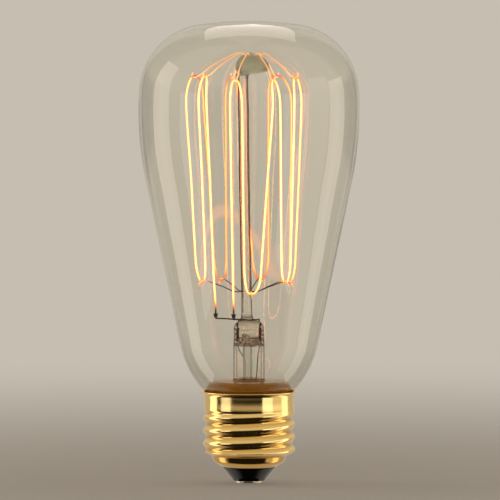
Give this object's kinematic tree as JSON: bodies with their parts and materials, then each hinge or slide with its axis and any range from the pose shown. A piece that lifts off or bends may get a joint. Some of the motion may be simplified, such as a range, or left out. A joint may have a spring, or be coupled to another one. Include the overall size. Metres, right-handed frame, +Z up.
{
  "type": "filament lamp",
  "caption": "Pear-shaped clear glass lamp with a squirrel-cage filament hung on wire hooks round a glass rod, and a brass screw cap with a black insulator.",
  "frame": {"origin": "centre of the lowest point of the solder on the centre contact, on the lamp's axis", "axes": "+Z up the lamp's axis, from the contact to the crown of the glass; -Y is the front seen in the picture, where both clamps of the filament are; +X is to the right of it"},
  "size_m": [0.063, 0.063, 0.1318],
  "materials": {
    "clear_glass": "clear, with a faint warm tint, blown and fire-polished",
    "stem_glass": "clear lead glass, drawn tube",
    "press_glass": "clear lead glass, pinched hot, with a wavy lower edge",
    "rod_glass": "clear solid rod",
    "button_glass": "cloudy grey-green, fused",
    "support_wire": "drawn molybdenum wire, dark and oxidised, lit orange by the filament",
    "filament_carbon": "wound filament, glowing from orange-red at its hooks to pale yellow",
    "lead_nickel": "drawn nickel wire, dulled and browned by heat",
    "seal_wire": "copper-clad wire, oxidised dark red-brown in the glass",
    "lead_copper": "drawn copper wire, dulled",
    "cap_brass": "rolled sheet, polished and lacquered",
    "cement": "baked basing cement, matt ochre-brown",
    "black_glass": "vitreous black insulator, glossy",
    "contact_brass": "pressed sheet, slightly dulled",
    "solder": "tin solder, smooth and slightly dull"
  },
  "bodies": {
    "root": {"glass_envelope": "clear_glass", "stem_flare": "stem_glass", "stem_press": "press_glass", "exhaust_tube": "stem_glass", "arbor_rod": "rod_glass", "upper_button": "button_glass", "upper_support_1": "support_wire", "upper_support_2": "support_wire", "upper_support_3": "support_wire", "upper_support_4": "support_wire", "upper_support_5": "support_wire", "upper_support_6": "support_wire", "upper_support_7": "support_wire", "lower_support_1": "support_wire", "lower_support_2": "support_wire", "lower_support_3": "support_wire", "lower_support_4": "support_wire", "lower_support_5": "support_wire", "lower_support_6": "support_wire", "filament": "filament_carbon", "filament_clamp_left": "lead_nickel", "filament_clamp_right": "lead_nickel", "inner_lead_left": "lead_nickel", "inner_lead_right": "lead_nickel", "seal_wire_left": "seal_wire", "seal_wire_right": "seal_wire", "outer_lead_side": "lead_copper", "outer_lead_centre": "lead_copper", "screw_shell": "cap_brass", "base_cement": "cement", "base_insulator": "black_glass", "centre_contact": "contact_brass", "centre_solder": "solder", "side_solder": "solder"}
  },
  "joints": []
}
